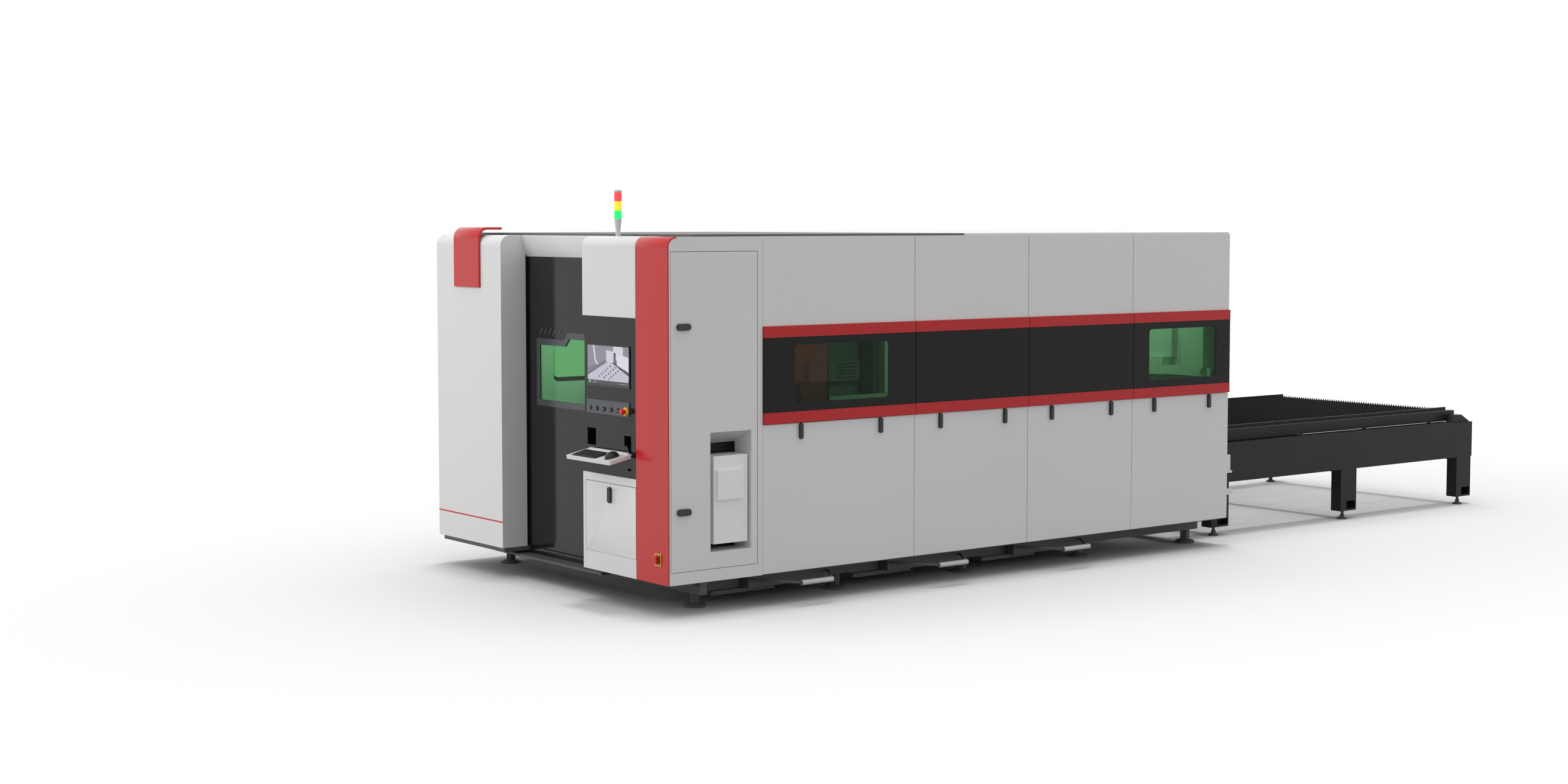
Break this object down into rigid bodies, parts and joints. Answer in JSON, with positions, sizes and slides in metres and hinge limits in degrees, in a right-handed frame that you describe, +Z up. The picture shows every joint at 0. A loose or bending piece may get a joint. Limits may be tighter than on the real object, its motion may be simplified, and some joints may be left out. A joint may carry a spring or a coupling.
{
  "type": "fiber laser cutting machine",
  "caption": "Enclosed sheet-metal laser cutting machine with a sliding front door, operator console, gantry cutting head, scrap drawers and a shuttle table with exchange pallets.",
  "frame": {"origin": "on the floor, under the middle of the whole machine", "axes": "+X from the operator console to the end of the shuttle table, +Y from the window side to the far side, +Z up"},
  "size_m": [8.5238, 2.893, 2.53],
  "materials": {
    "white_paint": "fine satin powder coat",
    "red_paint": "satin powder coat",
    "black_paint": "matt powder coat",
    "charcoal_paint": "satin powder coat",
    "bed_paint": "sprayed machine enamel",
    "table_paint": "sprayed machine enamel",
    "laser_glass": "green laser-safety acrylic",
    "black_plastic": "moulded",
    "grey_plastic": "moulded",
    "screen_plastic": "glossy bezel",
    "lamp_plastic": "clear coloured lenses",
    "red_plastic": "moulded",
    "yellow_plastic": "moulded",
    "ground_steel": "ground",
    "black_steel": "blackened and oiled",
    "head_metal": "anodised"
  },
  "bodies": {
    "machine": {"enclosure_frame": "bed_paint", "machine_bed": "bed_paint", "gantry_rails": "ground_steel", "levelling_feet": "black_steel", "front_pillar": "white_paint", "pillar_ribbon": "red_paint", "door_header": "white_paint", "door_tracks": "charcoal_paint", "console_head": "white_paint", "console_fascia": "charcoal_paint", "monitor": "screen_plastic", "console_base": "white_paint", "button_plate": "charcoal_paint", "estop_collar": "yellow_plastic", "switch_plate": "yellow_plastic", "corner_column": "red_paint", "cabinet_frame": "white_paint", "control_gear": "grey_plastic", "upper_covers": "white_paint", "band_panels": "black_paint", "band_stripes": "red_paint", "side_windows": "laser_glass", "far_covers": "white_paint", "rear_wall": "white_paint", "roof_panels": "white_paint", "tower_mast": "grey_plastic", "tower_lamps": "lamp_plastic", "table_frame": "table_paint"},
    "front_door": {"sliding_door": "charcoal_paint", "window_rim": "charcoal_paint", "door_glass": "laser_glass"},
    "console_door": {"console_door": "white_paint"},
    "console_latch": {"console_latch": "black_plastic"},
    "tray": {"keyboard_tray": "white_paint", "keyboard": "black_plastic", "mouse": "black_plastic"},
    "estop_button": {"estop_button": "red_plastic"},
    "main_switch": {"main_switch": "red_plastic"},
    "cabinet_door": {"cabinet_door": "white_paint", "air_conditioner": "white_paint"},
    "cabinet_latch_upper": {"cabinet_latch_upper": "black_plastic"},
    "cabinet_latch_lower": {"cabinet_latch_lower": "black_plastic"},
    "gantry": {"gantry_bridge": "bed_paint"},
    "carriage": {"head_carriage": "head_metal"},
    "lift": {"head_lift": "head_metal", "cutting_head": "head_metal"},
    "pallet_upper": {"pallet_upper": "table_paint"},
    "pallet_lower": {"pallet_lower": "table_paint"},
    "button_1": {"button_1": "black_plastic"},
    "button_2": {"button_2": "black_plastic"},
    "button_3": {"button_3": "black_plastic"},
    "button_4": {"button_4": "black_plastic"},
    "button_5": {"button_5": "black_plastic"},
    "lower_panel_1": {"lower_panel_1": "white_paint"},
    "lower_panel_2": {"lower_panel_2": "white_paint"},
    "lower_panel_3": {"lower_panel_3": "white_paint"},
    "lower_panel_4": {"lower_panel_4": "white_paint"},
    "scrap_drawer_1": {"scrap_drawer_1": "black_steel"},
    "scrap_drawer_2": {"scrap_drawer_2": "black_steel"},
    "scrap_drawer_3": {"scrap_drawer_3": "black_steel"}
  },
  "joints": [
    {"name": "front_door_slide", "type": "slide", "parent": "machine", "child": "front_door", "axis": [0, 1, 0], "range_m": [0, 0.78]},
    {"name": "console_door_tilt", "type": "hinge", "parent": "machine", "child": "console_door", "pos_m": [-4.10113, -0.7075, 0.316], "axis": [0, -1, 0], "range_deg": [0, 35]},
    {"name": "console_latch_turn", "type": "hinge", "parent": "console_door", "child": "console_latch", "pos_m": [-4.10113, -0.7075, 0.712], "axis": [1, 0, 0], "range_deg": [0, 90]},
    {"name": "tray_fold", "type": "hinge", "parent": "machine", "child": "tray", "pos_m": [-4.10113, -0.7025, 0.936], "axis": [0, 1, 0], "range_deg": [0, 45]},
    {"name": "estop_press", "type": "slide", "parent": "machine", "child": "estop_button", "axis": [1, 0, 0], "range_m": [0, 0.005], "stiffness_N_per_m": 800},
    {"name": "button_1_press", "type": "slide", "parent": "machine", "child": "button_1", "axis": [1, 0, 0], "range_m": [0, 0.003], "stiffness_N_per_m": 400},
    {"name": "button_2_press", "type": "slide", "parent": "machine", "child": "button_2", "axis": [1, 0, 0], "range_m": [0, 0.003], "stiffness_N_per_m": 400},
    {"name": "button_3_press", "type": "slide", "parent": "machine", "child": "button_3", "axis": [1, 0, 0], "range_m": [0, 0.003], "stiffness_N_per_m": 400},
    {"name": "button_4_press", "type": "slide", "parent": "machine", "child": "button_4", "axis": [1, 0, 0], "range_m": [0, 0.003], "stiffness_N_per_m": 400},
    {"name": "button_5_press", "type": "slide", "parent": "machine", "child": "button_5", "axis": [1, 0, 0], "range_m": [0, 0.003], "stiffness_N_per_m": 400},
    {"name": "main_switch_turn", "type": "hinge", "parent": "machine", "child": "main_switch", "pos_m": [-4.10113, -1.223, 0.346], "axis": [1, 0, 0], "range_deg": [0, 90]},
    {"name": "cabinet_door_swing", "type": "hinge", "parent": "machine", "child": "cabinet_door", "pos_m": [-3.45513, -1.3185, 1.218], "axis": [0, 0, 1], "range_deg": [0, 90]},
    {"name": "cabinet_latch_upper_turn", "type": "hinge", "parent": "cabinet_door", "child": "cabinet_latch_upper", "pos_m": [-4.01913, -1.3255, 1.721], "axis": [0, -1, 0], "range_deg": [0, 90]},
    {"name": "cabinet_latch_lower_turn", "type": "hinge", "parent": "cabinet_door", "child": "cabinet_latch_lower", "pos_m": [-4.01913, -1.3255, 0.629], "axis": [0, -1, 0], "range_deg": [0, 90]},
    {"name": "lower_panel_1_tilt", "type": "hinge", "parent": "machine", "child": "lower_panel_1", "pos_m": [-2.79963, -1.3255, 0.203], "axis": [1, 0, 0], "range_deg": [0, 30]},
    {"name": "lower_panel_2_tilt", "type": "hinge", "parent": "machine", "child": "lower_panel_2", "pos_m": [-1.69413, -1.3255, 0.203], "axis": [1, 0, 0], "range_deg": [0, 30]},
    {"name": "lower_panel_3_tilt", "type": "hinge", "parent": "machine", "child": "lower_panel_3", "pos_m": [-0.69613, -1.3255, 0.203], "axis": [1, 0, 0], "range_deg": [0, 30]},
    {"name": "lower_panel_4_tilt", "type": "hinge", "parent": "machine", "child": "lower_panel_4", "pos_m": [0.30187, -1.3255, 0.203], "axis": [1, 0, 0], "range_deg": [0, 30]},
    {"name": "scrap_drawer_1_slide", "type": "slide", "parent": "machine", "child": "scrap_drawer_1", "axis": [0, -1, 0], "range_m": [0, 0.9]},
    {"name": "scrap_drawer_2_slide", "type": "slide", "parent": "machine", "child": "scrap_drawer_2", "axis": [0, -1, 0], "range_m": [0, 0.9]},
    {"name": "scrap_drawer_3_slide", "type": "slide", "parent": "machine", "child": "scrap_drawer_3", "axis": [0, -1, 0], "range_m": [0, 0.9]},
    {"name": "gantry_travel", "type": "slide", "parent": "machine", "child": "gantry", "axis": [1, 0, 0], "range_m": [0, 3.1]},
    {"name": "carriage_travel", "type": "slide", "parent": "gantry", "child": "carriage", "axis": [0, 1, 0], "range_m": [0, 1.5]},
    {"name": "lift_travel", "type": "slide", "parent": "carriage", "child": "lift", "axis": [0, 0, -1], "range_m": [0, 0.095]},
    {"name": "pallet_exchange", "type": "slide", "parent": "machine", "child": "pallet_upper", "axis": [-1, 0, 0], "range_m": [0, 3.585]},
    {"name": "pallet_return", "type": "slide", "parent": "machine", "child": "pallet_lower", "axis": [1, 0, 0], "range_m": [0, 3.585]}
  ],
  "couplings": [
    {"joint": "pallet_return", "follows": "pallet_exchange", "ratio": 1}
  ]
}
